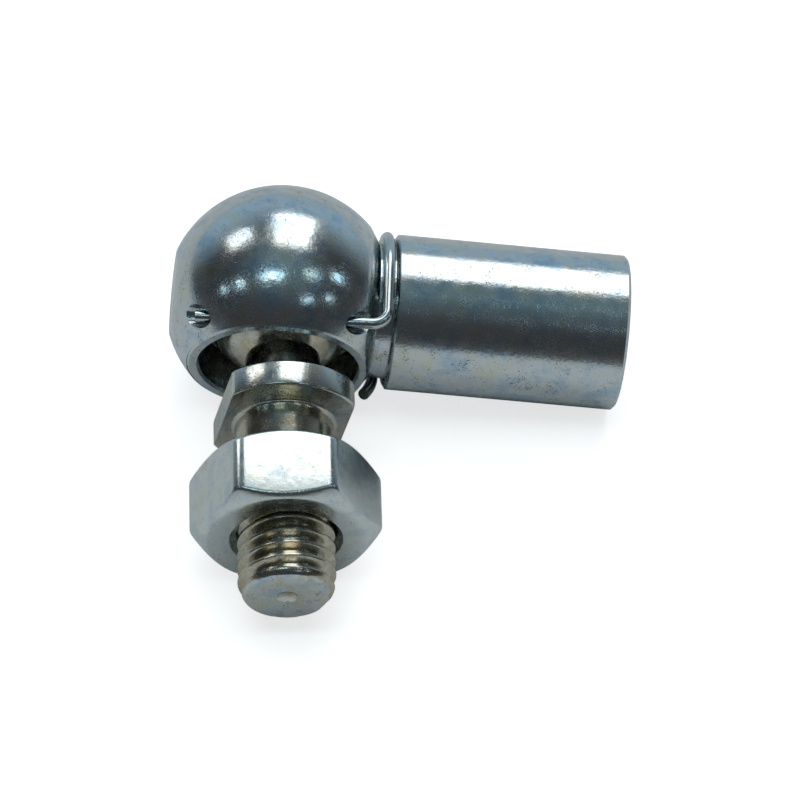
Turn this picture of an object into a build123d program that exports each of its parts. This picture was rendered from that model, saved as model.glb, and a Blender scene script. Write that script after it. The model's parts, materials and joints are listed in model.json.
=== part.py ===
"""Angle ball joint with safety clip: a socket on a threaded shank, a ball stud and its nut.

The joint lies on its side, as it comes to rest on a level surface: on the round head,
on the rim of the shank's end and on one flat of the nut. Millimetres, +Z up.
The socket's own frame has X along the shank, -Z out of the mouth and the ball centre
as its origin; the stud's own frame has +Z along the stud, away from the ball.
"""
import os
from math import asin, atan2, cos, radians, sin, sqrt, tan

from build123d import *

# ---------------------------------------------------------------- driving dimensions

# socket: head
ball_diameter = 16.0
ball_clearance = 0.08  # radial, ball in its pocket
head_wall = 3.92  # round the pocket
head_flat_depth = 0.85  # turned off the head's far end
mouth_rim_width = 1.17  # wall left round the mouth
mouth_edge_break = 0.12  # small bevel outside the rim
mouth_lead_in = 0.25  # bevel inside the rim

# socket: neck and shank
shank_diameter = 16.0
shank_reach = 35.1  # ball centre to the shank's end face
shank_end_bevel = 0.3
neck_diameter = 13.8
neck_cone_rise = 1.67  # the cone that leads from the round head down to the neck
neck_cone_length = 1.05
neck_width = 1.6
shoulder_bevel_length = 0.35
shoulder_bevel_depth = 0.5

# socket: thread bore in the shank
thread_diameter = 10.0
thread_pitch = 1.5
thread_depth = 20.0  # full-diameter part of the blind bore
drill_point_angle = 118.0
bore_bevel = 0.9

# snap ring that keeps the ball in
snap_wire_diameter = 1.2
snap_drop = 2.6  # ball centre down to the ring's wire centre
snap_groove_clearance = 0.1
snap_gap_angle = 16.0

# safety clip
clip_wire_diameter = 1.2
clip_hole_diameter = 2.4
clip_ball_clearance = 0.08  # leg to ball
clip_dip = 39.9  # leg below the ball, degrees from level towards the mouth
clip_skew = 6.1  # leg out of line with the shank, degrees
clip_leg_end = 9.1  # leg's blunt end, from the ball centre
clip_bend_radius = 1.5
clip_neck_clearance = 0.06
clip_tail_start = 55.0  # degrees round the neck before its lowest point
clip_tail_length = 4.3
clip_tail_lean = 1.0  # how far the tail's tip leans back to the head
clip_set = 0.8  # the loop's middle from the neck's start

# ball stud
stud_neck_diameter = 7.6
stud_neck_length = 1.4
stud_cone_end_diameter = 10.0
collar_reach = 12.2  # ball centre to the collar's near face
collar_thickness = 2.85
collar_diameter = 16.0
collar_flats = 12.5
collar_turn = -12.1  # flats out of plumb, degrees
collar_bevel = 0.25
stud_fillet = 0.5
stud_reach = 35.0  # ball centre to the stud's end
stud_thread_diameter = 9.86  # real crest size of the M10 thread
stud_end_diameter = 8.1
stud_end_bevel = 1.6  # its length along the stud
centre_mark_diameter = 2.0
centre_mark_depth = 0.5

# nut
nut_flats = 17.0
nut_height = 8.0
nut_reach = 28.46  # ball centre to the nut's outer face
nut_face_diameter = 16.0
nut_corner_round = 1.2  # the six corners, as pressed
nut_bevel_angle = 34.0
nut_running_clearance = 0.05
nut_countersink_diameter = 11.4

# pose
mouth_dip = 12.7  # mouth axis below level, degrees
stud_yaw = 2.3  # stud out of square with the shank, seen from above, degrees

# ---------------------------------------------------------------- sizes that follow

ball_radius = ball_diameter / 2
pocket_radius = ball_radius + ball_clearance
head_radius = pocket_radius + head_wall
shank_radius = shank_diameter / 2
neck_radius = neck_diameter / 2
mouth_radius = pocket_radius + mouth_rim_width
mouth_reach = sqrt(head_radius**2 - mouth_radius**2)
below = head_radius + mouth_rim_width  # clear of the head, for cuts
head_flat_reach = head_radius - head_flat_depth
head_flat_radius = sqrt(head_radius**2 - head_flat_reach**2)
crease_radius = neck_radius + neck_cone_rise
neck_crease = sqrt(head_radius**2 - crease_radius**2)
neck_start = neck_crease + neck_cone_length
neck_end = neck_start + neck_width
clip_place = neck_start + clip_set
bore_radius = (thread_diameter - thread_pitch) / 2
bore_tip = bore_radius / tan(radians(drill_point_angle / 2))
snap_radius = snap_wire_diameter / 2
snap_ball_distance = ball_radius + ball_clearance + snap_radius
snap_ring_radius = sqrt(snap_ball_distance**2 - snap_drop**2)
clip_radius = clip_wire_diameter / 2
clip_reach = ball_radius + clip_ball_clearance + clip_radius
clip_loop_radius = neck_radius + clip_neck_clearance + clip_radius
stud_radius = stud_thread_diameter / 2
nut_bore_radius = stud_radius + nut_running_clearance
nut_corner_radius = nut_flats / sqrt(3)
nut_bevel_slope = tan(radians(nut_bevel_angle))
nut_flat_bevel = (nut_flats - nut_face_diameter) / 2 * nut_bevel_slope
collar_end = collar_reach + collar_thickness

# how the joint lies: the head, the shank's rim and a flat of the nut touch z = 0
rim_reach = shank_reach - shank_end_bevel
shank_slope = asin(head_radius / sqrt(rim_reach**2 + shank_radius**2)) - atan2(shank_radius, rim_reach)
flat_reach = nut_reach - nut_flat_bevel
stud_slope = asin(head_radius / sqrt(flat_reach**2 + (nut_flats / 2) ** 2)) - atan2(nut_flats / 2, flat_reach)

# the origin is on z = 0 under the middle of the whole joint
right_end = shank_reach * cos(shank_slope) + (shank_radius - shank_end_bevel) * sin(shank_slope)
left_end = head_flat_reach * cos(shank_slope) + head_flat_radius * sin(shank_slope)
stud_level = cos(stud_slope) * cos(radians(stud_yaw))
front_end = stud_reach * stud_level + stud_end_diameter / 2 * sqrt(1 - stud_level**2)
ball_centre = Vector((left_end - right_end) / 2, (front_end - head_radius) / 2, head_radius)

# frames
shank_direction = Vector(cos(shank_slope), 0, -sin(shank_slope))
mouth_roll = asin(sin(radians(mouth_dip)) / cos(shank_slope))
upright = Vector(sin(shank_slope), 0, cos(shank_slope))
socket_up = Vector(0, 1, 0) * cos(mouth_roll) + upright * sin(mouth_roll)
socket_frame = Plane(origin=ball_centre, x_dir=shank_direction, z_dir=socket_up)
stud_direction = Vector(
    sin(radians(stud_yaw)) * cos(stud_slope),
    -cos(radians(stud_yaw)) * cos(stud_slope),
    -sin(stud_slope),
)
stud_side = Vector(cos(radians(stud_yaw)), sin(radians(stud_yaw)), 0)
stud_frame = Plane(origin=ball_centre, x_dir=stud_side, z_dir=stud_direction)


def in_socket(x, y, z):
    """A point given in the socket's own frame."""
    return socket_frame.from_local_coords(Vector(x, y, z))


def direction_in_socket(x, y, z):
    """A direction given in the socket's own frame."""
    return in_socket(x, y, z) - ball_centre


def stud_distance(edge):
    """How far the middle of an edge lies from the stud's axis."""
    middle = stud_frame.to_local_coords(edge.center())
    return sqrt(middle.X**2 + middle.Y**2)


# profiles in the socket: the plane through the shank and the mouth axis
socket_section = Plane(
    origin=ball_centre,
    x_dir=shank_direction,
    z_dir=direction_in_socket(0, -1, 0),
)
shank_axis = Axis(ball_centre, shank_direction)
mouth_axis = Axis(ball_centre, direction_in_socket(0, 0, -1))
stud_section = Plane(
    origin=ball_centre,
    x_dir=stud_side,
    z_dir=stud_side.cross(stud_direction),
)
stud_axis = Axis(ball_centre, stud_direction)

# ---------------------------------------------------------------- socket

# the clip's leg passes under the ball, a little out of line with the shank
skew = radians(clip_skew)
dip = radians(clip_dip)
leg_middle = Vector(-sin(skew) * cos(dip), -cos(skew) * cos(dip), -sin(dip)) * clip_reach
leg_run = Vector(cos(skew), -sin(skew), 0)
leg_frame = Plane(
    origin=in_socket(*leg_middle),
    z_dir=direction_in_socket(*leg_run),
)

with BuildPart() as socket:
    with BuildSketch(socket_section):
        with BuildLine():
            head_start = (-head_flat_reach, head_flat_radius)
            head_end = (neck_crease, crease_radius)
            shoulder_end = neck_end + shoulder_bevel_length
            Line((-head_flat_reach, 0), head_start)
            ThreePointArc(head_start, (0, head_radius), head_end)
            Polyline(
                head_end,
                (neck_start, neck_radius),
                (neck_end, neck_radius),
                (neck_end, shank_radius - shoulder_bevel_depth),
                (shoulder_end, shank_radius),
                (rim_reach, shank_radius),
                (shank_reach, shank_radius - shank_end_bevel),
                (shank_reach, 0),
                (-head_flat_reach, 0),
            )
        make_face()
    revolve(axis=shank_axis)

    # ball pocket with its mouth
    with BuildSketch(socket_section):
        with BuildLine():
            mouth_edge = (pocket_radius + mouth_lead_in, -mouth_reach)
            ThreePointArc(
                (0, pocket_radius),
                (pocket_radius * sin(radians(45)), pocket_radius * cos(radians(45))),
                (pocket_radius, 0),
            )
            Polyline(
                (pocket_radius, 0),
                (pocket_radius, mouth_lead_in - mouth_reach),
                mouth_edge,
                (mouth_edge[0], -below),
                (0, -below),
                (0, pocket_radius),
            )
        make_face()
    revolve(axis=mouth_axis, mode=Mode.SUBTRACT)

    # everything below the rim face goes, and the rim's outer edge is broken
    with BuildSketch(socket_section):
        with BuildLine():
            Polyline(
                (0, -mouth_reach),
                (mouth_radius - mouth_edge_break, -mouth_reach),
                (mouth_radius + mouth_edge_break, mouth_edge_break * 2 - mouth_reach),
                (mouth_radius + mouth_edge_break, -below),
                (0, -below),
                close=True,
            )
        make_face()
    revolve(axis=mouth_axis, mode=Mode.SUBTRACT)

    # groove for the snap ring
    with BuildSketch(socket_section):
        with Locations((snap_ring_radius, -snap_drop)):
            Circle(snap_radius + snap_groove_clearance)
    revolve(axis=mouth_axis, mode=Mode.SUBTRACT)

    # cross hole for the clip's leg, right through the head
    with BuildSketch(leg_frame):
        Circle(clip_hole_diameter / 2)
    extrude(amount=head_radius, both=True, mode=Mode.SUBTRACT)

    # blind thread bore in the shank, at tapping size
    with BuildSketch(socket_section):
        with BuildLine():
            Polyline(
                (shank_reach, 0),
                (shank_reach, bore_radius + bore_bevel),
                (shank_reach - bore_bevel, bore_radius),
                (shank_reach - thread_depth, bore_radius),
                (shank_reach - thread_depth - bore_tip, 0),
                close=True,
            )
        make_face()
    revolve(axis=shank_axis, mode=Mode.SUBTRACT)

# ---------------------------------------------------------------- snap ring

with BuildPart() as snap_ring:
    with BuildSketch(socket_section):
        with Locations((snap_ring_radius, -snap_drop)):
            Circle(snap_radius)
    revolve(axis=mouth_axis, revolution_arc=360 - snap_gap_angle)

# ---------------------------------------------------------------- safety clip

with BuildPart() as safety_clip:
    leg_top = leg_middle.Z
    leg_start = leg_middle + leg_run * ((-clip_leg_end - leg_middle.X) / leg_run.X)
    leg_corner = leg_middle + leg_run * ((clip_place - leg_middle.X) / leg_run.X)
    tail = radians(clip_tail_start)
    loop_side = Vector(clip_place, -clip_loop_radius, 0)
    loop_over = Vector(clip_place, 0, clip_loop_radius)
    loop_end = Vector(clip_place, clip_loop_radius * sin(tail), -clip_loop_radius * cos(tail))
    tail_tip = loop_end + Vector(-clip_tail_lean, -clip_tail_length * cos(tail), -clip_tail_length * sin(tail))
    with BuildLine() as clip_wire:
        FilletPolyline(
            in_socket(*leg_start),
            in_socket(*leg_corner),
            in_socket(*loop_side),
            radius=clip_bend_radius,
        )
        ThreePointArc(in_socket(*loop_side), in_socket(*loop_over), in_socket(*loop_end))
        TangentArc(
            in_socket(*loop_end),
            in_socket(*tail_tip),
            tangent=direction_in_socket(0, -cos(tail), -sin(tail)),
        )
    with BuildSketch(Plane(origin=in_socket(*leg_start), z_dir=direction_in_socket(*leg_run))):
        Circle(clip_radius)
    sweep(path=clip_wire.wire())

# ---------------------------------------------------------------- ball stud

with BuildPart() as ball_stud:
    with BuildSketch(stud_section):
        with BuildLine():
            neck = stud_neck_diameter / 2
            ball_foot = sqrt(ball_radius**2 - neck**2)
            collar_radius = collar_diameter / 2
            Line((0, -ball_radius), (0, stud_reach))
            ThreePointArc((0, -ball_radius), (ball_radius, 0), (neck, ball_foot))
            Polyline(
                (neck, ball_foot),
                (neck, ball_foot + stud_neck_length),
                (stud_cone_end_diameter / 2, collar_reach),
                (collar_radius - collar_bevel, collar_reach),
                (collar_radius, collar_reach + collar_bevel),
                (collar_radius, collar_end - collar_bevel),
                (collar_radius - collar_bevel, collar_end),
                (stud_radius + stud_fillet, collar_end),
            )
            RadiusArc(
                (stud_radius + stud_fillet, collar_end),
                (stud_radius, collar_end + stud_fillet),
                stud_fillet,
            )
            Polyline(
                (stud_radius, collar_end + stud_fillet),
                (stud_radius, stud_reach - stud_end_bevel),
                (stud_end_diameter / 2, stud_reach),
                (0, stud_reach),
            )
        make_face()
    revolve(axis=stud_axis)

    # two spanner flats on the collar
    flat_room = collar_diameter - collar_flats
    with BuildSketch(stud_frame.offset(collar_reach)):
        with Locations(Rotation(0, 0, collar_turn)):
            with GridLocations(collar_flats + flat_room, 0, 2, 1):
                Rectangle(flat_room, collar_diameter)
    extrude(amount=collar_thickness, mode=Mode.SUBTRACT)

    # centre mark in the end face
    with BuildSketch(stud_section):
        with BuildLine():
            Polyline(
                (0, stud_reach - centre_mark_depth),
                (centre_mark_diameter / 2, stud_reach),
                (0, stud_reach),
                close=True,
            )
        make_face()
    revolve(axis=stud_axis, mode=Mode.SUBTRACT)

# ---------------------------------------------------------------- nut

with BuildPart() as hex_nut:
    with BuildSketch(stud_frame.offset(nut_reach - nut_height)):
        RegularPolygon(nut_flats / 2, 6, major_radius=False)
        Circle(nut_bore_radius, mode=Mode.SUBTRACT)
    extrude(amount=nut_height)
    corners = hex_nut.edges().filter_by(GeomType.LINE).filter_by(stud_axis)
    fillet(corners.filter_by(lambda edge: stud_distance(edge) > nut_flats / 2), radius=nut_corner_round)

    # both faces are turned to a bevel that leaves a round bearing face
    with BuildSketch(stud_section):
        with BuildLine():
            face = nut_face_diameter / 2
            outside = nut_corner_radius + nut_running_clearance
            drop = (outside - face) * nut_bevel_slope
            Polyline(
                (0, nut_reach - nut_height),
                (face, nut_reach - nut_height),
                (outside, nut_reach - nut_height + drop),
                (outside, nut_reach - drop),
                (face, nut_reach),
                (0, nut_reach),
                close=True,
            )
        make_face()
    revolve(axis=stud_axis, mode=Mode.INTERSECT)

    # countersinks at both ends of the thread
    sink = nut_countersink_diameter / 2
    sink_depth = sink - nut_bore_radius
    with BuildSketch(stud_section):
        with BuildLine():
            Polyline(
                (0, nut_reach),
                (sink, nut_reach),
                (nut_bore_radius, nut_reach - sink_depth),
                (0, nut_reach - sink_depth),
                close=True,
            )
        make_face()
        with BuildLine():
            Polyline(
                (0, nut_reach - nut_height),
                (sink, nut_reach - nut_height),
                (nut_bore_radius, nut_reach - nut_height + sink_depth),
                (0, nut_reach - nut_height + sink_depth),
                close=True,
            )
        make_face()
    revolve(axis=stud_axis, mode=Mode.SUBTRACT)

# ---------------------------------------------------------------- output

os.makedirs("parts", exist_ok=True)

socket.part.label = "socket"
snap_ring.part.label = "snap_ring"
safety_clip.part.label = "safety_clip"
ball_stud.part.label = "ball_stud"
hex_nut.part.label = "hex_nut"

export_step(socket.part, "parts/socket.step")
export_step(snap_ring.part, "parts/snap_ring.step")
export_step(safety_clip.part, "parts/safety_clip.step")
export_step(ball_stud.part, "parts/ball_stud.step")
export_step(hex_nut.part, "parts/hex_nut.step")
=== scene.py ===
"""Looks of the angle ball joint: socket, snap ring, wire clip, threaded ball stud and nut.

The part's solids give every place and size. The ring and the clip keep their solids and get
real finishes. The socket is a copy of its solid with the tapped thread cut into its bore, and
the stud and the nut are built again here, the stud with its rolled thread. Objects are in
metres, in the part's own frame, and sizes named in the classes are in millimetres.
"""
import json
import logging
import math
from dataclasses import dataclass
from enum import Enum
from typing import Callable, Dict, List, Optional, Sequence, Tuple, Union

import bmesh
import bpy
from mathutils import Matrix, Vector


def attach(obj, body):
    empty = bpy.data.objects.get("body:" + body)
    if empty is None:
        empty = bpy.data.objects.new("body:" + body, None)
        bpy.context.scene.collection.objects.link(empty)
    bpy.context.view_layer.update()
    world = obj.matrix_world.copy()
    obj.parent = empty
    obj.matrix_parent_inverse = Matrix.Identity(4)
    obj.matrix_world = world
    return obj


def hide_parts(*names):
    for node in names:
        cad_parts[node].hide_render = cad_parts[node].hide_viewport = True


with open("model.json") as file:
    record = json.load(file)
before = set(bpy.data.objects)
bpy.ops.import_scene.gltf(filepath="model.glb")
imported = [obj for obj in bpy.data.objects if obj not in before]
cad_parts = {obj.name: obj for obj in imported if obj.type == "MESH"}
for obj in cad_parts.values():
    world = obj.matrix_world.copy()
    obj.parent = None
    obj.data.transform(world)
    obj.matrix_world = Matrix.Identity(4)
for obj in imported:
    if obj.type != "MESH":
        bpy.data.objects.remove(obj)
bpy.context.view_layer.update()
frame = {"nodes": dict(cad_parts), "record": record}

log = logging.getLogger("angle_joint")

MM = 0.001
Setting = Union[float, int, str, bool, Sequence[float]]
Key = Union[str, int]
Profile = List[Tuple[float, float]]

# an edge that turns by more than this stays crisp on the pieces built here
CRISP_ANGLE = math.radians(32)
# a place along the axis that no part of the joint reaches, for a finish with no soiled band
FAR_OFF_MM = 900.0
# two lays of handling scratches: their turn, and the noise's steps in a millimetre along
# x, y, z; drawn coarser than real ones, which would be too fine to show
SCRATCH_LAYS = ((0.35, (9.0, 0.55, 0.55)), (-0.9, (0.6, 8.0, 0.6)))


class Body(Enum):
    """The moving bodies of the joint."""

    SOCKET = "socket"
    BALL_STUD = "ball_stud"
    HEX_NUT = "hex_nut"


class Making(Enum):
    """How a zinc-plated surface was made before plating; each finish logs it, and its own
    settings give the fine marks.
    """

    TURNED = "turned"
    DRAWN = "drawn"
    ROLLED = "rolled"
    PRESSED = "pressed"


def linear(hex_code: str) -> Tuple[float, float, float, float]:
    """Turns an sRGB hex colour into linear RGBA.

    Args:
        hex_code: six hex digits, with or without a leading hash.

    Returns:
        The linear colour with alpha 1.
    """
    digits = hex_code.lstrip("#")
    channels = [int(digits[i:i + 2], 16) / 255 for i in (0, 2, 4)]
    values = [c / 12.92 if c <= 0.04045 else ((c + 0.055) / 1.055) ** 2.4 for c in channels]
    return (values[0], values[1], values[2], 1.0)


def add_node(
    tree: bpy.types.NodeTree,
    kind: str,
    settings: Optional[Dict[Key, Setting]] = None,
    links: Optional[Dict[Key, bpy.types.NodeSocket]] = None,
) -> bpy.types.Node:
    """Adds one shader node with its settings and its incoming links.

    Args:
        tree: the material's or world's node tree.
        kind: the node's type name.
        settings: values by input name or number, or by the node's own property name.
        links: sockets of other nodes by input name or number.

    Returns:
        The new node.
    """
    node = tree.nodes.new(kind)
    for key, value in (settings or {}).items():
        if isinstance(key, int) or key in node.inputs:
            node.inputs[key].default_value = value
        else:
            setattr(node, key, value)
    for key, source in (links or {}).items():
        tree.links.new(source, node.inputs[key])
    return node


def set_ramp(node: bpy.types.Node, stops: Sequence[Tuple[float, Sequence[float]]]) -> None:
    """Gives a colour ramp its stops.

    Args:
        node: the ramp node.
        stops: (position, linear RGBA) pairs in rising order.
    """
    elements = node.color_ramp.elements
    while len(elements) < len(stops):
        elements.new(1.0)
    for element, (position, colour) in zip(elements, stops):
        element.position = position
        element.color = colour


def grey(value: float) -> Tuple[float, float, float, float]:
    """A linear grey as RGBA."""
    return (value, value, value, 1.0)


# ---------------------------------------------------------------- finishes


@dataclass(frozen=True)
class ZincFinish:
    """Blue-passivated zinc plate on steel: a thin bright plate with a cloudy blue cast.

    The passivate film varies in thickness, so the metal drifts between steel blue and a faint
    straw green over a few millimetres. Under it lie the marks of how the steel was made, and
    the plate itself has a fine grain, pits and handling scratches.
    """

    name: str
    making: Making
    base: str = "#C8D0D2"
    blue: str = "#ABC0CD"
    straw: str = "#C9CCBE"
    stain: str = "#4E4A40"
    cloud_mm: float = 2.6
    grain_mm: float = 0.34
    pit_mm: float = 0.17
    pit_amount: float = 0.7
    roughness: float = 0.14
    roughness_spread: float = 0.1
    grain_depth_mm: float = 0.012
    mark_pitch_mm: float = 0.22
    mark_depth_mm: float = 0.0012
    axis: Tuple[float, float, float] = (1.0, 0.0, 0.0)
    film_stops: Tuple[float, float, float] = (0.34, 0.5, 0.7)
    pit_crowding: float = 0.42
    pit_band: Tuple[float, float] = (0.6, 0.67)
    pit_dulling: float = 0.35
    scratch_band: Tuple[float, float] = (0.7, 0.76)
    scratch_depth_mm: float = 0.004
    scratch_strength: float = 0.6
    gloss_band: Tuple[float, float] = (0.3, 0.72)

    def material(self) -> bpy.types.Material:
        """Builds the finish as a node material."""
        log.info("finish %s, on %s steel", self.name, self.making.value)
        made = bpy.data.materials.new(self.name)
        made.use_nodes = True
        tree = made.node_tree
        tree.nodes.clear()
        place = add_node(tree, "ShaderNodeTexCoord").outputs["Object"]

        # the film's slow drift of colour
        cloud = add_node(
            tree, "ShaderNodeTexNoise",
            {"Scale": 1 / (self.cloud_mm * MM), "Detail": 5.0, "Roughness": 0.62,
             "Distortion": 0.5},
            {"Vector": place},
        )
        film = add_node(tree, "ShaderNodeValToRGB", links={"Fac": cloud.outputs["Fac"]})
        tints = (self.blue, self.base, self.straw)
        set_ramp(film, [(stop, linear(tint)) for stop, tint in zip(self.film_stops, tints)])

        # pits and dark specks in the plate, thicker in some clouds than in others
        pits = add_node(
            tree, "ShaderNodeTexNoise",
            {"Scale": 1 / (self.pit_mm * MM), "Detail": 3.0, "Roughness": 0.7},
            {"Vector": place},
        )
        patches = add_node(
            tree, "ShaderNodeTexNoise",
            {"Scale": 1 / (self.cloud_mm * 0.55 * MM), "Detail": 3.0},
            {"Vector": place},
        )
        crowd = add_node(
            tree, "ShaderNodeMath",
            {"operation": "MULTIPLY_ADD", 1: self.pit_crowding, 2: -self.pit_crowding / 2},
            {0: patches.outputs["Fac"]},
        )
        pit_field = add_node(
            tree, "ShaderNodeMath", {"operation": "ADD"},
            {0: pits.outputs["Fac"], 1: crowd.outputs[0]},
        )
        pit_mask = add_node(
            tree, "ShaderNodeMapRange",
            {"From Min": self.pit_band[0], "From Max": self.pit_band[1],
             "To Max": self.pit_amount},
            {"Value": pit_field.outputs[0]},
        )
        colour = add_node(
            tree, "ShaderNodeMix",
            {"data_type": "RGBA", 7: linear(self.stain)},
            {0: pit_mask.outputs["Result"], 6: film.outputs["Color"]},
        )

        # handling scratches: thin stretched noise, in two directions
        scratch_sum: Optional[bpy.types.NodeSocket] = None
        for turn, stretch in SCRATCH_LAYS:
            laid = add_node(
                tree, "ShaderNodeMapping",
                {"Rotation": (0.3, 0.2, turn), "Scale": tuple(s / MM for s in stretch)},
                {"Vector": place},
            )
            lines = add_node(
                tree, "ShaderNodeTexNoise", {"Scale": 1.0, "Detail": 1.5, "Roughness": 0.4},
                {"Vector": laid.outputs["Vector"]},
            )
            line_mask = add_node(
                tree, "ShaderNodeMapRange",
                {"From Min": self.scratch_band[0], "From Max": self.scratch_band[1]},
                {"Value": lines.outputs["Fac"]},
            )
            if scratch_sum is None:
                scratch_sum = line_mask.outputs["Result"]
            else:
                scratch_sum = add_node(
                    tree, "ShaderNodeMath", {"operation": "MAXIMUM"},
                    {0: scratch_sum, 1: line_mask.outputs["Result"]},
                ).outputs[0]

        # gloss: the film dulls in its clouds, and specks and scratches are duller still
        gloss = add_node(
            tree, "ShaderNodeMapRange",
            {"From Min": self.gloss_band[0], "From Max": self.gloss_band[1],
             "To Min": self.roughness, "To Max": self.roughness + self.roughness_spread},
            {"Value": patches.outputs["Fac"]},
        )
        dull = add_node(
            tree, "ShaderNodeMath", {"operation": "MULTIPLY_ADD", 1: self.pit_dulling},
            {0: pit_mask.outputs["Result"], 2: gloss.outputs["Result"]},
        )

        # relief: plate grain, pits, scratches and the tool's marks along the axis
        grain = add_node(
            tree, "ShaderNodeTexNoise",
            {"Scale": 1 / (self.grain_mm * MM), "Detail": 2.5, "Roughness": 0.55},
            {"Vector": place},
        )
        bump = add_node(
            tree, "ShaderNodeBump", {"Strength": 1.0, "Distance": self.grain_depth_mm * MM},
            {"Height": grain.outputs["Fac"]},
        )
        along = add_node(
            tree, "ShaderNodeVectorMath", {"operation": "DOT_PRODUCT", 1: self.axis}, {0: place},
        )
        steps = add_node(
            tree, "ShaderNodeMath",
            {"operation": "MULTIPLY", 1: 1 / (self.mark_pitch_mm * MM)},
            {0: along.outputs["Value"]},
        )
        marks = add_node(
            tree, "ShaderNodeTexNoise",
            {"noise_dimensions": "1D", "Scale": 1.0, "Detail": 2.0},
            {"W": steps.outputs[0]},
        )
        tooled = add_node(
            tree, "ShaderNodeBump", {"Strength": 1.0, "Distance": self.mark_depth_mm * MM},
            {"Height": marks.outputs["Fac"], "Normal": bump.outputs["Normal"]},
        )
        cut = add_node(
            tree, "ShaderNodeBump",
            {"Strength": self.scratch_strength, "Distance": self.scratch_depth_mm * MM,
             "invert": True},
            {"Height": scratch_sum, "Normal": tooled.outputs["Normal"]},
        )
        shader = add_node(
            tree, "ShaderNodeBsdfPrincipled", {"Metallic": 1.0},
            {"Base Color": colour.outputs[2], "Roughness": dull.outputs[0],
             "Normal": cut.outputs["Normal"]},
        )
        self.tint(tree, place, colour.outputs[2], shader)
        add_node(tree, "ShaderNodeOutputMaterial", links={"Surface": shader.outputs["BSDF"]})
        return made

    def tint(
        self,
        tree: bpy.types.NodeTree,
        place: bpy.types.NodeSocket,
        colour: bpy.types.NodeSocket,
        shader: bpy.types.Node,
    ) -> None:
        """Leaves the plate's own colour as it is; the finish with grease and painted shade
        overrides this.

        Args:
            tree: the material's tree.
            place: coordinates in the part's frame.
            colour: the plate's colour.
            shader: the surface shader.
        """


@dataclass(frozen=True)
class GreasedAndShadedZincFinish(ZincFinish):
    """Zinc plate with old assembly grease, and with painted shade in the socket's pocket.

    The tinted zones are a ball round grease_and_shade_centre, and what lies between soil_start
    and soil_end along the axis. On the stud the ball and the thread take a light brown grease. On
    the socket the ball zone is the pocket's inside, painted dark brown: painted shade in the
    hollow over its grease.
    """

    grease_and_shade: str = "#4A4338"
    grease_and_shade_centre: Tuple[float, float, float] = (0.0, 0.0, 0.0)
    grease_and_shade_radius_mm: float = 0.0
    soil_start_mm: float = 0.0
    soil_end_mm: float = 0.0
    grease_and_shade_edge_mm: float = 0.5
    soil_onset_mm: float = 0.8
    soil_ending_mm: float = 0.15
    patch_mm: float = 0.9
    patch_band: Tuple[float, float] = (0.34, 0.6)
    patch_amount: Tuple[float, float] = (0.35, 0.95)

    def tint(
        self,
        tree: bpy.types.NodeTree,
        place: bpy.types.NodeSocket,
        colour: bpy.types.NodeSocket,
        shader: bpy.types.Node,
    ) -> None:
        """Mixes the grease colour over the plate's colour inside the zones; in the socket's
        pocket this colour is painted shade.

        Args:
            tree: the material's tree.
            place: coordinates in the part's frame.
            colour: the plate's colour.
            shader: the surface shader.
        """
        # the ball zone round the joint's centre: grease on the stud's ball, painted shade on the
        # inside of the socket's pocket
        away = add_node(
            tree, "ShaderNodeVectorMath", {"operation": "DISTANCE", 1: self.grease_and_shade_centre},
            {0: place},
        )
        near = add_node(
            tree, "ShaderNodeMapRange",
            {"From Min": self.grease_and_shade_radius_mm * MM,
             "From Max": (self.grease_and_shade_radius_mm + self.grease_and_shade_edge_mm) * MM,
             "To Min": 1.0, "To Max": 0.0},
            {"Value": away.outputs["Value"]},
        )
        offset = add_node(
            tree, "ShaderNodeVectorMath", {"operation": "SUBTRACT", 1: self.grease_and_shade_centre},
            {0: place},
        )
        along = add_node(
            tree, "ShaderNodeVectorMath", {"operation": "DOT_PRODUCT", 1: self.axis},
            {0: offset.outputs["Vector"]},
        )
        onset = add_node(
            tree, "ShaderNodeMapRange",
            {"From Min": self.soil_start_mm * MM,
             "From Max": (self.soil_start_mm + self.soil_onset_mm) * MM},
            {"Value": along.outputs["Value"]},
        )
        ending = add_node(
            tree, "ShaderNodeMapRange",
            {"From Min": self.soil_end_mm * MM,
             "From Max": (self.soil_end_mm + self.soil_ending_mm) * MM,
             "To Min": 1.0, "To Max": 0.0},
            {"Value": along.outputs["Value"]},
        )
        band = add_node(
            tree, "ShaderNodeMath", {"operation": "MULTIPLY"},
            {0: onset.outputs["Result"], 1: ending.outputs["Result"]},
        )
        blotch = add_node(
            tree, "ShaderNodeTexNoise",
            {"Scale": 1 / (self.patch_mm * MM), "Detail": 4.0, "Roughness": 0.65},
            {"Vector": place},
        )
        patchiness = add_node(
            tree, "ShaderNodeMapRange",
            {"From Min": self.patch_band[0], "From Max": self.patch_band[1],
             "To Min": self.patch_amount[0], "To Max": self.patch_amount[1]},
            {"Value": blotch.outputs["Fac"]},
        )
        zone = add_node(
            tree, "ShaderNodeMath", {"operation": "MAXIMUM"},
            {0: near.outputs["Result"], 1: band.outputs[0]},
        )
        amount = add_node(
            tree, "ShaderNodeMath", {"operation": "MULTIPLY"},
            {0: zone.outputs[0], 1: patchiness.outputs["Result"]},
        )
        tinted = add_node(
            tree, "ShaderNodeMix", {"data_type": "RGBA", 7: linear(self.grease_and_shade)},
            {0: amount.outputs[0], 6: colour},
        )
        tree.links.new(tinted.outputs[2], shader.inputs["Base Color"])


# ---------------------------------------------------------------- meshes


@dataclass(frozen=True)
class Axes:
    """A turned piece's own frame: origin on its axis, z along it."""

    origin: Vector
    z_axis: Vector
    x_axis: Vector

    def matrix(self) -> Matrix:
        """The transform from the piece's own millimetres to the part's frame in metres."""
        z = self.z_axis.normalized()
        x = (self.x_axis - z * self.x_axis.dot(z)).normalized()
        y = z.cross(x)
        turned = Matrix((x, y, z)).transposed().to_4x4()
        return Matrix.Translation(self.origin) @ turned @ Matrix.Diagonal((MM, MM, MM, 1.0))


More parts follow.
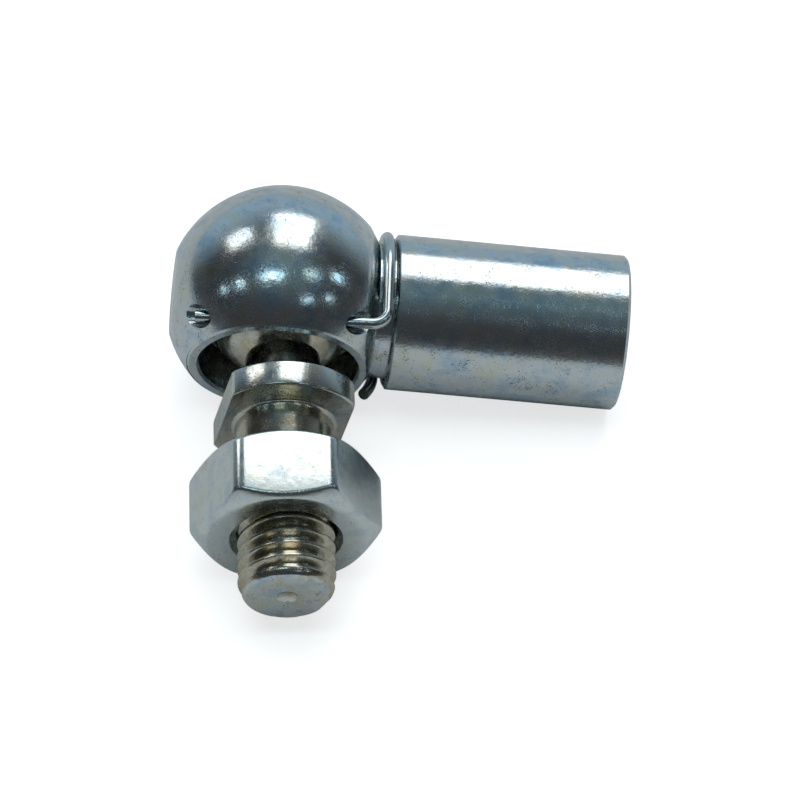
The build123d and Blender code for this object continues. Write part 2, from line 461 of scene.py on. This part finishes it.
def skin_rows(mesh: bmesh.types.BMesh, rows: List[List[bmesh.types.BMVert]]) -> None:
    """Joins closed rows of vertices with quads.

    Args:
        mesh: the mesh that holds them.
        rows: rings of vertices with the same count, in order.
    """
    for lower, upper in zip(rows, rows[1:]):
        count = len(lower)
        for i in range(count):
            j = (i + 1) % count
            mesh.faces.new((lower[i], lower[j], upper[j], upper[i]))


def lathe(
    mesh: bmesh.types.BMesh,
    profile: Profile,
    angles: Sequence[float],
    shape: Callable[[float, float, float], Tuple[float, float]],
) -> None:
    """Turns a profile round z, with poles where its radius is zero.

    Args:
        mesh: the mesh to add to.
        profile: (radius, height) points.
        angles: the columns' angles in radians.
        shape: turns (radius, angle, height) into the x and y of a vertex.
    """
    rows: List[List[bmesh.types.BMVert]] = []
    poles: Dict[int, bmesh.types.BMVert] = {}
    for number, (radius, height) in enumerate(profile):
        if radius < 1e-6:
            poles[number] = mesh.verts.new((0.0, 0.0, height))
            rows.append([])
            continue
        rows.append([mesh.verts.new((*shape(radius, a, height), height)) for a in angles])
    for number in range(len(profile) - 1):
        lower, upper = rows[number], rows[number + 1]
        if lower and upper:
            skin_rows(mesh, [lower, upper])
        elif lower or upper:
            ring = lower or upper
            pole = poles[number + 1] if lower else poles[number]
            for i in range(len(ring)):
                pair = (ring[i], ring[(i + 1) % len(ring)])
                mesh.faces.new((*pair, pole) if lower else (pair[1], pair[0], pole))


def finish_mesh(mesh: bmesh.types.BMesh, name: str, place: Matrix) -> bpy.types.Object:
    """Turns a bmesh into an object in the part's frame with smooth, crisp-edged shading.

    Args:
        mesh: the finished bmesh, in its own millimetres.
        name: the piece's name.
        place: the transform to the part's frame.

    Returns:
        The linked object, with its place in its vertices.
    """
    bmesh.ops.remove_doubles(mesh, verts=mesh.verts, dist=1e-4)
    bmesh.ops.dissolve_degenerate(mesh, dist=1e-5, edges=mesh.edges)
    bmesh.ops.recalc_face_normals(mesh, faces=mesh.faces)
    data = bpy.data.meshes.new(name)
    mesh.to_mesh(data)
    mesh.free()
    data.transform(place)
    piece = bpy.data.objects.new(name, data)
    bpy.context.scene.collection.objects.link(piece)
    data.shade_smooth()
    data.set_sharp_from_angle(angle=CRISP_ANGLE)
    return piece


@dataclass(frozen=True)
class RolledThread:
    """A metric thread as a closed helical band of rings, crest to root."""

    pitch: float
    crest_radius: float
    depth: float
    start: float
    end: float
    points: int = 10
    columns: int = 96
    flat_share: float = 0.16
    flank_share: float = 0.6
    rounding: float = 0.45

    def radius(self, phase: float) -> float:
        """The flank's radius at a phase of 0 to 1 from one crest to the next.

        Args:
            phase: place along one pitch, 0 at the crest's middle.

        Returns:
            The radius in millimetres.
        """
        from_crest = abs((phase + 0.5) % 1.0 - 0.5) * 2
        rise = min(1.0, max(0.0, (from_crest - self.flat_share) / self.flank_share))
        eased = rise * rise * (3 - 2 * rise) * self.rounding + rise * (1 - self.rounding)
        return self.crest_radius - self.depth * eased

    def build(self, mesh: bmesh.types.BMesh, limit: Callable[[float, float], float]) -> None:
        """Adds the thread between start and end.

        Args:
            mesh: the mesh to add to, in the thread's own millimetres.
            limit: turns (radius, height) into the radius after run-out and chamfer.
        """
        per_turn = self.points
        rows = int((self.end - self.start) / self.pitch * per_turn) + 2 * per_turn
        grid: List[List[bmesh.types.BMVert]] = []
        for row in range(rows):
            base = self.start + (row / per_turn - 1) * self.pitch
            ring: List[bmesh.types.BMVert] = []
            for column in range(self.columns):
                share = column / self.columns
                height = base + share * self.pitch
                kept = min(self.end, max(self.start, height))
                phase = (row / per_turn) % 1.0
                reach = limit(self.radius(phase), kept)
                angle = share * math.tau
                ring.append(mesh.verts.new(
                    (reach * math.cos(angle), reach * math.sin(angle), kept)))
            grid.append(ring)
        for row in range(rows - 1):
            for column in range(self.columns - 1):
                quad = (grid[row][column], grid[row][column + 1],
                        grid[row + 1][column + 1], grid[row + 1][column])
                mesh.faces.new(quad)
            following = row + per_turn
            if following + 1 < rows:
                last = self.columns - 1
                mesh.faces.new((grid[row][last], grid[following][0],
                                grid[following + 1][0], grid[row + 1][last]))


# ---------------------------------------------------------------- the joint's frame


@dataclass(frozen=True)
class JointFrame:
    """The axes that the part's record gives."""

    centre: Vector
    mouth: Vector
    stud: Vector
    shank: Vector

    @staticmethod
    def read(record: dict) -> "JointFrame":
        """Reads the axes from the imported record.

        Args:
            record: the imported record.

        Returns:
            The joint's frame.
        """
        joints = {j["name"]: j for j in record["behaviour"]["joints"]}
        mounts = {m["name"]: m for m in record["mounts"]}
        return JointFrame(
            centre=Vector(joints["stud_turn"]["pos_m"]),
            mouth=Vector(joints["stud_turn"]["axis"]),
            stud=Vector(joints["nut_turn"]["axis"]),
            shank=Vector(mounts["shank_thread"]["axis"]),
        )


# ---------------------------------------------------------------- sub-assemblies


@dataclass
class Socket:
    """The socket: round head, neck and shank, with the snap ring inside its mouth."""

    joint: JointFrame
    pocket_radius: float = 8.08
    mouth_reach: float = 7.65
    mouth_zone: float = 0.45
    mouth_angle: float = 12.0
    turned_angle: float = 28.0
    shank_reach: float = 35.1
    bore_radius: float = 4.25
    thread_radius: float = 5.0
    thread_turns: int = 13
    pitch: float = 1.5
    steps: int = 60
    groove_width: float = 1.32
    tip_width: float = 0.2
    overlap: float = 0.06

    def groove(self) -> bpy.types.Object:
        """Builds the helical cutter of the tapped thread.

        Returns:
            The cutter, in place in the shank's bore.
        """
        mesh = bmesh.new()
        slope = (self.groove_width - self.tip_width) / 2 / (self.thread_radius - self.bore_radius)
        wide = self.groove_width / 2 + self.overlap * slope
        outline = [
            (self.bore_radius - self.overlap, -wide), (self.thread_radius, -self.tip_width / 2),
            (self.thread_radius, self.tip_width / 2), (self.bore_radius - self.overlap, wide),
        ]
        rows: List[List[bmesh.types.BMVert]] = []
        for step in range(self.thread_turns * self.steps + 1):
            angle = step / self.steps * math.tau
            lead = self.shank_reach + self.pitch - step / self.steps * self.pitch
            rows.append([
                mesh.verts.new((r * math.cos(angle), r * math.sin(angle), lead + w))
                for r, w in outline
            ])
        skin_rows(mesh, rows)
        mesh.faces.new(list(reversed(rows[0])))
        mesh.faces.new(rows[-1])
        place = Axes(self.joint.centre, self.joint.shank, Vector((0.0, 1.0, 0.0))).matrix()
        return finish_mesh(mesh, "thread_cutter", place)

    def build(self) -> bpy.types.Object:
        """Cuts the tapped thread into a copy of the socket's solid.

        Returns:
            The socket with its thread.
        """
        data = frame["nodes"]["socket"].data.copy()
        joined = bmesh.new()
        joined.from_mesh(data)
        bmesh.ops.remove_doubles(joined, verts=joined.verts, dist=1e-7)
        joined.to_mesh(data)
        joined.free()
        piece = bpy.data.objects.new("tapped_socket", data)
        bpy.context.scene.collection.objects.link(piece)
        cutter = self.groove()
        cut = piece.modifiers.new("tapped_thread", "BOOLEAN")
        cut.operation = "DIFFERENCE"
        cut.solver = "EXACT"
        cut.object = cutter
        graph = bpy.context.evaluated_depsgraph_get()
        piece.data = bpy.data.meshes.new_from_object(piece.evaluated_get(graph))
        piece.modifiers.clear()
        bpy.data.objects.remove(cutter)
        piece.data.shade_smooth()
        piece.data.set_sharp_from_angle(angle=math.radians(self.turned_angle))
        self.crisp_mouth(piece.data)
        return piece

    def crisp_mouth(self, data: bpy.types.Mesh) -> None:
        """Keeps the narrow bevels round the mouth from being smoothed into the head.

        Args:
            data: the socket's mesh.
        """
        mesh = bmesh.new()
        mesh.from_mesh(data)
        for edge in mesh.edges:
            depths = [(v.co - self.joint.centre).dot(self.joint.mouth) for v in edge.verts]
            at_mouth = min(depths) > (self.mouth_reach - self.mouth_zone) * MM
            if at_mouth and edge.calc_face_angle(0.0) > math.radians(self.mouth_angle):
                edge.smooth = False
        mesh.to_mesh(data)
        mesh.free()

    def dress(self, piece: bpy.types.Object) -> None:
        """Gives the socket and the snap ring their finishes.

        Args:
            piece: the socket with its thread.
        """
        # turned free-cutting steel, zinc plated: fine rings round the shank's axis, cloudy
        # blue film, many fine pits that break up the edges of every reflection
        turned = GreasedAndShadedZincFinish(
            name="zinc_plate_on_turned_steel",
            making=Making.TURNED,
            axis=tuple(self.joint.shank),
            # the pocket's inside is painted dark brown, far darker than the grease on the ball:
            # painted shade in the hollow over its grease
            grease_and_shade_centre=tuple(self.joint.centre),
            grease_and_shade_radius_mm=self.pocket_radius + 0.15,
            soil_start_mm=FAR_OFF_MM,
            soil_end_mm=FAR_OFF_MM + 1,
            grease_and_shade="#3B342B",
        )
        wear(piece, turned.material())
        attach(piece, Body.SOCKET.value)
        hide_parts("socket")
        # hard-drawn spring wire left bare and oiled: darker, brown in the grease
        ring = ZincFinish(
            name="oiled_spring_steel_wire",
            making=Making.DRAWN,
            base="#8D8A84",
            blue="#77787A",
            straw="#8A7F6E",
            roughness=0.22,
            mark_depth_mm=0.0005,
        )
        wear(frame["nodes"]["snap_ring"], ring.material())
        log.info("socket tapped with %d faces, snap ring dressed", len(piece.data.polygons))


@dataclass
class SafetyClip:
    """The wire clip through the head and round the neck."""

    joint: JointFrame

    def dress(self) -> None:
        """Gives the clip its finish."""
        # bright drawn wire, thinly plated: smooth, whiter than the turned steel, drawing lines
        wire = ZincFinish(
            name="bright_drawn_spring_wire",
            making=Making.DRAWN,
            base="#C4CBCB",
            blue="#B2BEC4",
            straw="#C6C6B8",
            roughness=0.17,
            roughness_spread=0.08,
            grain_depth_mm=0.002,
            pit_amount=0.12,
            mark_depth_mm=0.0004,
            axis=(0.0, 0.0, 1.0),
        )
        wear(frame["nodes"]["safety_clip"], wire.material())
        log.info("safety clip dressed")


@dataclass
class BallStud:
    """The ball stud, built again with its rolled thread."""

    joint: JointFrame
    ball_radius: float = 8.0
    neck_radius: float = 3.8
    neck_length: float = 1.4
    cone_end_radius: float = 5.0
    collar_start: float = 12.2
    collar_end: float = 15.05
    collar_radius: float = 8.0
    collar_half_flats: float = 6.25
    collar_turn: float = -12.1
    collar_round: float = 0.25
    fillet: float = 0.5
    thread_start: float = 20.6
    crest_radius: float = 4.93
    thread_depth: float = 0.8
    pitch: float = 1.5
    reach: float = 35.0
    end_radius: float = 4.05
    end_chamfer: float = 1.6
    mark_radius: float = 1.0
    mark_depth: float = 0.42
    columns: int = 96

    def head_profile(self) -> Profile:
        """The profile from the ball's pole to the start of the thread."""
        foot = math.sqrt(self.ball_radius**2 - self.neck_radius**2)
        foot_angle = math.atan2(self.neck_radius, foot)
        ball = [
            (self.ball_radius * math.sin(a), -self.ball_radius * math.cos(a))
            for a in (i / 40 * (math.pi - foot_angle) for i in range(41))
        ]
        ball[0] = (0.0, -self.ball_radius)
        quarter = [i / 4 * math.pi / 2 for i in range(5)]
        top = [
            (self.collar_radius - self.collar_round * (1 - math.sin(a)),
             self.collar_start + self.collar_round * (1 - math.cos(a)))
            for a in quarter
        ]
        under = [
            (self.collar_radius - self.collar_round * (1 - math.cos(a)),
             self.collar_end - self.collar_round * (1 - math.sin(a)))
            for a in quarter
        ]
        root = [
            (self.crest_radius + self.fillet * (1 - math.sin(a)),
             self.collar_end + self.fillet * (1 - math.cos(a)))
            for a in quarter
        ]
        neck = [
            (self.neck_radius, foot + self.neck_length),
            (self.cone_end_radius, self.collar_start),
        ]
        return ball + neck + top + under + root + [(self.crest_radius, self.thread_start)]

    def flatten(self, radius: float, angle: float, height: float) -> Tuple[float, float]:
        """Cuts the two spanner flats into the collar.

        Args:
            radius: the turned radius.
            angle: the column's angle.
            height: the height along the stud.

        Returns:
            The vertex's x and y.
        """
        x, y = radius * math.cos(angle), radius * math.sin(angle)
        if self.collar_start - 0.01 <= height <= self.collar_end + 0.01:
            turn = math.radians(self.collar_turn)
            across = x * math.cos(turn) + y * math.sin(turn)
            along = -x * math.sin(turn) + y * math.cos(turn)
            across = max(-self.collar_half_flats, min(self.collar_half_flats, across))
            x = across * math.cos(turn) - along * math.sin(turn)
            y = across * math.sin(turn) + along * math.cos(turn)
        return x, y

    def end_limit(self, radius: float, height: float) -> float:
        """Holds the thread inside its run-out and its end chamfer.

        Args:
            radius: the thread's radius there.
            height: the height along the stud.

        Returns:
            The radius after both.
        """
        runout = min(1.0, (height - self.thread_start) / self.pitch)
        radius = self.crest_radius - (self.crest_radius - radius) * max(0.0, runout)
        from_end = self.reach - height
        if from_end < self.end_chamfer:
            share = from_end / self.end_chamfer
            cone = self.end_radius + (self.crest_radius - self.end_radius) * math.sqrt(share)
            radius = min(radius, cone)
        return radius

    def build(self) -> bpy.types.Object:
        """Builds the stud's mesh and puts it in its place.

        Returns:
            The stud.
        """
        mesh = bmesh.new()
        angles = [i / self.columns * math.tau for i in range(self.columns)]
        lathe(mesh, self.head_profile(), angles, self.flatten)
        thread = RolledThread(
            self.pitch, self.crest_radius, self.thread_depth, self.thread_start, self.reach,
            columns=self.columns,
        )
        thread.build(mesh, self.end_limit)
        end_round = [
            (self.end_radius, self.reach),
            (self.mark_radius * 2.2, self.reach),
            (self.mark_radius * 1.08, self.reach),
            (self.mark_radius * 0.86, self.reach - self.mark_depth * 0.35),
            (self.mark_radius * 0.5, self.reach - self.mark_depth * 0.75),
            (0.0, self.reach - self.mark_depth),
        ]
        lathe(mesh, end_round, angles, lambda r, a, h: (r * math.cos(a), r * math.sin(a)))
        side = Vector((-self.joint.stud.y, self.joint.stud.x, 0.0))
        place = Axes(self.joint.centre, self.joint.stud, side).matrix()
        return finish_mesh(mesh, "threaded_ball_stud", place)

    def dress(self, piece: bpy.types.Object) -> None:
        """Gives the stud its finish and its place in the joint.

        Args:
            piece: the stud's mesh.
        """
        # turned blank with a rolled thread, zinc plated: light brown grease on the ball and along
        # the thread, and bare bright plate on the collar
        finish = GreasedAndShadedZincFinish(
            name="zinc_plate_on_rolled_stud",
            making=Making.ROLLED,
            axis=tuple(self.joint.stud),
            grease_and_shade_centre=tuple(self.joint.centre),
            grease_and_shade_radius_mm=self.ball_radius + 1.2,
            soil_start_mm=self.collar_end - 0.45,
            soil_end_mm=self.reach - 0.35,
            grease_and_shade="#B0A68D",
            base="#CDD1CE",
            straw="#C9C5AE",
            grain_mm=0.45,
            grain_depth_mm=0.008,
        )
        wear(piece, finish.material())
        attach(piece, Body.BALL_STUD.value)
        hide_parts("ball_stud")
        log.info("ball stud built with %d faces", len(piece.data.polygons))


@dataclass
class HexNut:
    """The pressed hexagon nut, built again with its rolled edges."""

    joint: JointFrame
    half_flats: float = 8.5
    outer_face: float = 28.46
    height: float = 8.0
    face_radius: float = 8.0
    bevel_angle: float = 34.0
    corner_round: float = 1.2
    edge_round: float = 0.3
    bore_radius: float = 4.98
    sink_radius: float = 5.7
    columns: int = 144

    def side(self, angle: float) -> float:
        """The hexagon's radius at an angle, with its corners rounded off.

        Args:
            angle: the angle from a corner, in radians.

        Returns:
            The radius in millimetres.
        """
        sector = math.pi / 3
        from_flat = abs((angle % sector) - sector / 2)
        straight = self.half_flats / math.cos(from_flat)
        inner = (self.half_flats - self.corner_round) / math.cos(math.pi / 6)
        from_corner = sector / 2 - from_flat
        tangent = math.atan2(self.corner_round * 0.5, inner + self.corner_round * 0.866)
        if from_corner >= tangent:
            return straight
        sine = inner * math.sin(from_corner)
        return inner * math.cos(from_corner) + math.sqrt(self.corner_round**2 - sine**2)

    def half_profile(self, angle: float) -> Profile:
        """One angle's outline from the thread to the middle of the flat, for one face.

        Args:
            angle: the angle from a corner, in radians.

        Returns:
            (radius, depth below the face) points.
        """
        slope = math.tan(math.radians(self.bevel_angle))
        outside = self.side(angle)
        meet = (outside - self.face_radius) * slope
        cut = self.edge_round
        sunk = self.sink_radius - self.bore_radius
        points = [(self.bore_radius, sunk), (self.sink_radius, 0.0)]
        points += [(self.sink_radius + (self.face_radius - self.sink_radius) * k / 3, 0.0)
                   for k in (1, 2)]
        points += [(self.face_radius - 0.06, 0.0), (self.face_radius + 0.06, 0.06 * slope)]
        start = (outside - cut * math.cos(math.radians(self.bevel_angle)),
                 meet - cut * math.sin(math.radians(self.bevel_angle)))
        if start[0] < points[-1][0]:
            start = (points[-1][0] + 0.01, points[-1][1] + 0.01 * slope)
        for share in (0.0, 0.25, 0.5, 0.75, 1.0):
            keep, far = (1 - share) ** 2, share**2
            middle = 2 * share * (1 - share)
            points.append((start[0] * keep + outside * middle + outside * far,
                           start[1] * keep + meet * middle + (meet + cut) * far))
        points.append((outside, self.height / 2))
        return points

    def build(self) -> bpy.types.Object:
        """Builds the nut's mesh in its place.

        Returns:
            The nut.
        """
        mesh = bmesh.new()
        angles = [i / self.columns * math.tau for i in range(self.columns)]
        outlines = [self.half_profile(a) for a in angles]
        rows: List[List[bmesh.types.BMVert]] = []
        steps = [(number, 1.0) for number in range(len(outlines[0]))]
        steps += [(number, -1.0) for number in reversed(range(len(outlines[0]) - 1))]
        for number, face in steps:
            ring: List[bmesh.types.BMVert] = []
            for angle, outline in zip(angles, outlines):
                radius, depth = outline[number]
                middle = self.outer_face - self.height / 2
                height = middle + face * (self.height / 2 - depth)
                ring.append(mesh.verts.new(
                    (radius * math.cos(angle), radius * math.sin(angle), height)))
            rows.append(ring)
        rows.append(rows[0])
        skin_rows(mesh, rows)
        side = Vector((-self.joint.stud.y, self.joint.stud.x, 0.0))
        place = Axes(self.joint.centre, self.joint.stud, side).matrix()
        return finish_mesh(mesh, "pressed_hex_nut", place)

    def dress(self, piece: bpy.types.Object) -> None:
        """Gives the nut its finish and its place in the joint.

        Args:
            piece: the nut's mesh.
        """
        # cold-pressed steel, zinc plated: no turning rings, a soft coarse grain and a lighter,
        # greener film than the turned pieces
        pressed = ZincFinish(
            name="zinc_plate_on_pressed_steel",
            making=Making.PRESSED,
            base="#D3DAD8",
            blue="#C0CCD0",
            straw="#CFD3C6",
            cloud_mm=2.2,
            grain_mm=0.6,
            grain_depth_mm=0.008,
            pit_amount=0.22,
            roughness=0.18,
            mark_depth_mm=0.0004,
            axis=tuple(self.joint.stud),
        )
        wear(piece, pressed.material())
        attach(piece, Body.HEX_NUT.value)
        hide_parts("hex_nut")
        log.info("nut built with %d faces", len(piece.data.polygons))


def wear(piece: bpy.types.Object, finish: bpy.types.Material) -> None:
    """Puts a finish in every material slot of a piece.

    Args:
        piece: the object.
        finish: its material.
    """
    if not piece.material_slots:
        piece.data.materials.append(finish)
    for holder in piece.material_slots:
        holder.material = finish


# ---------------------------------------------------------------- studio


@dataclass(frozen=True)
class Softbox:
    """A rectangular lamp that looks at the part from a direction."""

    name: str
    toward: Tuple[float, float, float]
    distance: float
    width: float
    height: float
    radiance: float
    colour: str = "#FFFFFF"
    in_metal: bool = True

    def build(self, target: Vector) -> None:
        """Adds the lamp.

        Args:
            target: the point that it faces.
        """
        data = bpy.data.lights.new(self.name, "AREA")
        data.shape = "RECTANGLE"
        data.size = self.width
        data.size_y = self.height
        data.energy = self.radiance * math.pi * self.width * self.height
        data.color = linear(self.colour)[:3]
        lamp = bpy.data.objects.new(self.name, data)
        bpy.context.scene.collection.objects.link(lamp)
        away = Vector(self.toward).normalized()
        lamp.location = target + away * self.distance
        level = (Vector((1.0, 0.0, 0.0)) - away * away.x).normalized()
        turn = Matrix((level, away.cross(level), away)).transposed()
        lamp.rotation_euler = turn.to_euler()
        lamp.visible_glossy = self.in_metal


# the room's tint by height: (upward share of the direction, linear RGBA), dark and neutral in
# front and blue-green under the ceiling
CEILING_TINTS = (
    (0.0, (0.085, 0.09, 0.095, 1.0)), (0.3, (0.05, 0.051, 0.053, 1.0)),
    (0.64, (0.055, 0.057, 0.062, 1.0)), (0.78, (0.07, 0.082, 0.096, 1.0)),
    (0.9, (0.085, 0.125, 0.145, 1.0)), (1.0, (0.16, 0.235, 0.265, 1.0)),
)


@dataclass
class Studio:
    """Pale floor, plain soft light and the camera."""

    target: Vector
    floor_half: float = 0.9
    floor_grey: float = 0.8
    floor_glow: float = 0.7
    backdrop: float = 0.62
    lens_mm: float = 235.2238
    sensor_mm: float = 36.0
    camera_height: float = 50.4
    camera_place: Tuple[float, float, float] = (-1.464, -337.972, 419.166)
    camera_right: Tuple[float, float, float] = (0.999876, 0.00986, 0.012261)
    camera_down: Tuple[float, float, float] = (0.015412, -0.770527, -0.637221)
    camera_ahead: Tuple[float, float, float] = (0.003165, 0.637331, -0.770584)
    ceiling_lamps: Tuple[Tuple[Tuple[float, float], Tuple[float, float], float], ...] = (
        ((-0.085, 0.22), (0.22, 0.045), 5.0),
        ((-0.352, 0.148), (0.07, 0.04), 5.0),
        ((-0.483, 0.097), (0.05, 0.03), 4.0),
        ((0.254, 0.237), (0.13, 0.035), 4.2),
        ((0.474, 0.216), (0.12, 0.035), 4.0),
        ((0.220, 0.021), (0.11, 0.028), 3.2),
        ((0.407, 0.038), (0.08, 0.028), 3.0),
    )

    def mirrored(self, right: float, up: float) -> Tuple[float, float, float]:
        """The direction that a round head mirrors towards its front.

        Args:
            right: how far the head's surface there leans to the right, as a share of 1.
            up: how far it leans up, seen square to the part's own viewing side.

        Returns:
            The direction in the part's frame.
        """
        near = math.sqrt(1 - right**2 - up**2)
        x, rise, back = 2 * near * right, 2 * near * up, 2 * near**2 - 1
        tilt = math.radians(self.camera_height)
        return (x, rise * math.sin(tilt) - back * math.cos(tilt),
                rise * math.cos(tilt) + back * math.sin(tilt))

    def floor(self) -> None:
        """Lays the floor, white to the eye and pale in the metal, with the part's shadow."""
        mesh = bmesh.new()
        bmesh.ops.create_grid(mesh, x_segments=8, y_segments=8, size=self.floor_half)
        data = bpy.data.meshes.new("floor")
        mesh.to_mesh(data)
        mesh.free()
        plane = bpy.data.objects.new("floor", data)
        bpy.context.scene.collection.objects.link(plane)
        material = bpy.data.materials.new("matt_white_paper")
        material.use_nodes = True
        tree = material.node_tree
        tree.nodes.clear()
        paper = add_node(
            tree, "ShaderNodeBsdfDiffuse", {"Color": grey(self.floor_grey), "Roughness": 0.4},
        )
        rays = add_node(tree, "ShaderNodeLightPath")
        share = add_node(
            tree, "ShaderNodeMath", {"operation": "MULTIPLY", 1: self.floor_glow},
            {0: rays.outputs["Is Camera Ray"]},
        )
        seen = add_node(
            tree, "ShaderNodeEmission", {"Color": grey(1.0)}, {"Strength": share.outputs[0]},
        )
        both = add_node(
            tree, "ShaderNodeAddShader", links={0: paper.outputs["BSDF"], 1: seen.outputs[0]},
        )
        add_node(tree, "ShaderNodeOutputMaterial", links={"Surface": both.outputs[0]})
        data.materials.append(material)

    def world(self) -> None:
        """Sets the room: white to the eye, a dim room with a pale back wall in the metal."""
        world = bpy.data.worlds.new("studio_room")
        bpy.context.scene.world = world
        world.use_nodes = True
        tree = world.node_tree
        tree.nodes.clear()
        toward = add_node(tree, "ShaderNodeTexCoord").outputs["Generated"]
        split = add_node(tree, "ShaderNodeSeparateXYZ", links={0: toward})
        behind = add_node(
            tree, "ShaderNodeMapRange", {"From Min": 0.3, "From Max": 0.75},
            {"Value": split.outputs["Y"]},
        )
        low = add_node(
            tree, "ShaderNodeMapRange",
            {"From Min": 0.3, "From Max": 0.75, "To Min": 1.0, "To Max": 0.25},
            {"Value": split.outputs["Z"]},
        )
        wall = add_node(
            tree, "ShaderNodeMath", {"operation": "MULTIPLY"},
            {0: behind.outputs["Result"], 1: low.outputs["Result"]},
        )
        ceiling = add_node(tree, "ShaderNodeValToRGB", links={"Fac": split.outputs["Z"]})
        set_ramp(ceiling, CEILING_TINTS)
        wall_colour = tuple(c * self.backdrop for c in linear("#C9E6FB")[:3]) + (1.0,)
        room = add_node(
            tree, "ShaderNodeMix", {"data_type": "RGBA", 7: wall_colour},
            {0: wall.outputs[0], 6: ceiling.outputs["Color"]},
        )
        rays = add_node(tree, "ShaderNodeLightPath")
        seen = add_node(
            tree, "ShaderNodeMix", {"data_type": "RGBA", 7: grey(1.0)},
            {0: rays.outputs["Is Camera Ray"], 6: room.outputs[2]},
        )
        air = add_node(
            tree, "ShaderNodeBackground", {"Strength": 1.0}, {"Color": seen.outputs[2]},
        )
        add_node(tree, "ShaderNodeOutputWorld", links={"Surface": air.outputs[0]})

    def lamps(self) -> None:
        """Hangs the soft lamps."""
        boxes = [
            Softbox("back_softbox", (0.13, 0.60, 0.79), 0.6, 0.31, 0.42, 2.4),
            Softbox("left_softbox", (-0.56, 0.50, 0.66), 0.6, 0.19, 0.16, 2.2),
            Softbox("floor_fill", (0.0, -0.1, 1.0), 0.9, 0.7, 0.6, 1.7, in_metal=False),
        ]
        for number, (place, size, strength) in enumerate(self.ceiling_lamps):
            boxes.append(Softbox(
                f"ceiling_lamp_{number}", self.mirrored(*place), 0.6, *size, strength, "#D2F0FA"))
        for box in boxes:
            box.build(self.target)

    def camera(self) -> None:
        """Sets the camera where the part is seen from its own angle."""
        data = bpy.data.cameras.new("camera")
        data.sensor_width = self.sensor_mm
        data.lens = self.lens_mm
        data.clip_start = 0.01
        data.clip_end = 10.0
        view = bpy.data.objects.new("camera", data)
        bpy.context.scene.collection.objects.link(view)
        right, down, ahead = (
            Vector(v) for v in (self.camera_right, self.camera_down, self.camera_ahead)
        )
        turn = Matrix((right, -down, -ahead)).transposed().to_4x4()
        view.matrix_world = Matrix.Translation(Vector(self.camera_place) * MM) @ turn
        bpy.context.scene.camera = view

    def build(self) -> None:
        """Builds the whole studio."""
        self.floor()
        self.world()
        self.lamps()
        self.camera()
        bpy.context.scene.view_settings.view_transform = "Standard"
        log.info("studio built")


def main() -> None:
    """Builds and dresses every piece, then the studio."""
    logging.basicConfig(level=logging.INFO, format="%(name)s: %(message)s")
    joint = JointFrame.read(frame["record"])
    socket = Socket(joint)
    socket.dress(socket.build())
    SafetyClip(joint).dress()
    stud = BallStud(joint)
    stud.dress(stud.build())
    nut = HexNut(joint)
    nut.dress(nut.build())
    Studio(target=Vector((0.0, 0.0, 0.012))).build()


if __name__ == "__main__":
    main()
